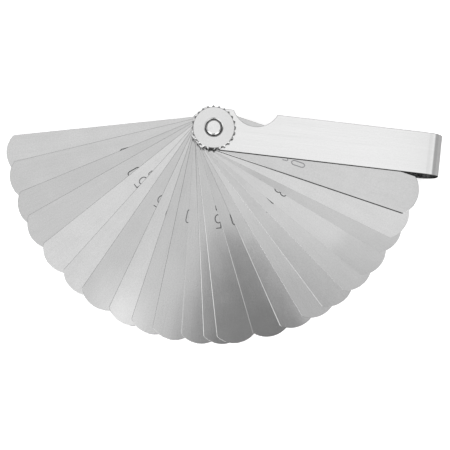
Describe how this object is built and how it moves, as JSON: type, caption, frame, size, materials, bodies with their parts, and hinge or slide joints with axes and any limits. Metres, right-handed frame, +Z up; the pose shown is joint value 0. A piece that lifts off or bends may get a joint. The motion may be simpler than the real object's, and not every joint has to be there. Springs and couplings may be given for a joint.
{
  "type": "feeler gauge",
  "caption": "Fan-style metric feeler gauge: thin steel thickness leaves swing on one pivot out of a folded steel strip holder and lock with a knurled nut.",
  "frame": {"origin": "on the pivot axis, in the flat outer face of the holder's lower side", "axes": "+Z up along the pivot axis towards the knurled nut, +X along the holder towards its folded end, -Y the side the leaves are fanned out on"},
  "size_m": [0.1432, 0.0767, 0.0153],
  "materials": {
    "blade_steel": "bright rolled spring steel, fine lengthwise grain",
    "holder_steel": "satin stainless strip",
    "nut_steel": "turned face with fine concentric marks, straight knurl",
    "stud_steel": "turned steel"
  },
  "bodies": {
    "holder": {"holder": "holder_steel", "pivot_screw": "stud_steel"},
    "knurled_nut": {"knurled_nut": "nut_steel"},
    "blade_1_00": {"blade_1_00": "blade_steel"},
    "blade_0_02": {"blade_0_02": "blade_steel"},
    "blade_0_05": {"blade_0_05": "blade_steel"},
    "blade_0_03": {"blade_0_03": "blade_steel"},
    "blade_0_10": {"blade_0_10": "blade_steel"},
    "blade_0_15": {"blade_0_15": "blade_steel"},
    "blade_0_20": {"blade_0_20": "blade_steel"},
    "blade_0_25": {"blade_0_25": "blade_steel"},
    "blade_0_30": {"blade_0_30": "blade_steel"},
    "blade_0_35": {"blade_0_35": "blade_steel"},
    "blade_0_40": {"blade_0_40": "blade_steel"},
    "blade_0_45": {"blade_0_45": "blade_steel"},
    "blade_0_50": {"blade_0_50": "blade_steel"},
    "blade_0_55": {"blade_0_55": "blade_steel"},
    "blade_0_60": {"blade_0_60": "blade_steel"},
    "blade_0_65": {"blade_0_65": "blade_steel"},
    "blade_0_70": {"blade_0_70": "blade_steel"},
    "blade_0_75": {"blade_0_75": "blade_steel"},
    "blade_0_80": {"blade_0_80": "blade_steel"},
    "blade_0_85": {"blade_0_85": "blade_steel"},
    "blade_0_90": {"blade_0_90": "blade_steel"},
    "blade_0_95": {"blade_0_95": "blade_steel"}
  },
  "joints": [
    {"name": "nut_turn", "type": "hinge", "parent": "holder", "child": "knurled_nut", "pos_m": [0, 0, 0.0139], "axis": [0, 0, 1], "range_deg": [0, 360]},
    {"name": "blade_1_00_swing", "type": "hinge", "parent": "holder", "child": "blade_1_00", "pos_m": [0, 0, 0.01152], "axis": [0, 0, 1], "range_deg": [-167.9, 12.1]},
    {"name": "blade_0_02_swing", "type": "hinge", "parent": "holder", "child": "blade_0_02", "pos_m": [0, 0, 0.01098], "axis": [0, 0, 1], "range_deg": [-160.4, 19.6]},
    {"name": "blade_0_05_swing", "type": "hinge", "parent": "holder", "child": "blade_0_05", "pos_m": [0, 0, 0.0109], "axis": [0, 0, 1], "range_deg": [-155.5, 24.5]},
    {"name": "blade_0_03_swing", "type": "hinge", "parent": "holder", "child": "blade_0_03", "pos_m": [0, 0, 0.01083], "axis": [0, 0, 1], "range_deg": [-147.2, 32.8]},
    {"name": "blade_0_10_swing", "type": "hinge", "parent": "holder", "child": "blade_0_10", "pos_m": [0, 0, 0.01073], "axis": [0, 0, 1], "range_deg": [-140.8, 39.2]},
    {"name": "blade_0_15_swing", "type": "hinge", "parent": "holder", "child": "blade_0_15", "pos_m": [0, 0, 0.01057], "axis": [0, 0, 1], "range_deg": [-133.3, 46.7]},
    {"name": "blade_0_20_swing", "type": "hinge", "parent": "holder", "child": "blade_0_20", "pos_m": [0, 0, 0.01036], "axis": [0, 0, 1], "range_deg": [-127.25, 52.75]},
    {"name": "blade_0_25_swing", "type": "hinge", "parent": "holder", "child": "blade_0_25", "pos_m": [0, 0, 0.0101], "axis": [0, 0, 1], "range_deg": [-120.55, 59.45]},
    {"name": "blade_0_30_swing", "type": "hinge", "parent": "holder", "child": "blade_0_30", "pos_m": [0, 0, 0.00979], "axis": [0, 0, 1], "range_deg": [-112.8, 67.2]},
    {"name": "blade_0_35_swing", "type": "hinge", "parent": "holder", "child": "blade_0_35", "pos_m": [0, 0, 0.00943], "axis": [0, 0, 1], "range_deg": [-102.8, 77.2]},
    {"name": "blade_0_40_swing", "type": "hinge", "parent": "holder", "child": "blade_0_40", "pos_m": [0, 0, 0.00902], "axis": [0, 0, 1], "range_deg": [-99.1, 80.9]},
    {"name": "blade_0_45_swing", "type": "hinge", "parent": "holder", "child": "blade_0_45", "pos_m": [0, 0, 0.00856], "axis": [0, 0, 1], "range_deg": [-92.9, 87.1]},
    {"name": "blade_0_50_swing", "type": "hinge", "parent": "holder", "child": "blade_0_50", "pos_m": [0, 0, 0.00805], "axis": [0, 0, 1], "range_deg": [-84.8, 95.2]},
    {"name": "blade_0_55_swing", "type": "hinge", "parent": "holder", "child": "blade_0_55", "pos_m": [0, 0, 0.00749], "axis": [0, 0, 1], "range_deg": [-78.5, 101.5]},
    {"name": "blade_0_60_swing", "type": "hinge", "parent": "holder", "child": "blade_0_60", "pos_m": [0, 0, 0.00688], "axis": [0, 0, 1], "range_deg": [-71.4, 108.6]},
    {"name": "blade_0_65_swing", "type": "hinge", "parent": "holder", "child": "blade_0_65", "pos_m": [0, 0, 0.00622], "axis": [0, 0, 1], "range_deg": [-62.1, 117.9]},
    {"name": "blade_0_70_swing", "type": "hinge", "parent": "holder", "child": "blade_0_70", "pos_m": [0, 0, 0.00551], "axis": [0, 0, 1], "range_deg": [-54.8, 125.2]},
    {"name": "blade_0_75_swing", "type": "hinge", "parent": "holder", "child": "blade_0_75", "pos_m": [0, 0, 0.00475], "axis": [0, 0, 1], "range_deg": [-45.4, 134.6]},
    {"name": "blade_0_80_swing", "type": "hinge", "parent": "holder", "child": "blade_0_80", "pos_m": [0, 0, 0.00394], "axis": [0, 0, 1], "range_deg": [-36.3, 143.7]},
    {"name": "blade_0_85_swing", "type": "hinge", "parent": "holder", "child": "blade_0_85", "pos_m": [0, 0, 0.00308], "axis": [0, 0, 1], "range_deg": [-29.1, 150.9]},
    {"name": "blade_0_90_swing", "type": "hinge", "parent": "holder", "child": "blade_0_90", "pos_m": [0, 0, 0.00217], "axis": [0, 0, 1], "range_deg": [-20.2, 159.8]},
    {"name": "blade_0_95_swing", "type": "hinge", "parent": "holder", "child": "blade_0_95", "pos_m": [0, 0, 0.00121], "axis": [0, 0, 1], "range_deg": [-12.6, 167.4]}
  ]
}
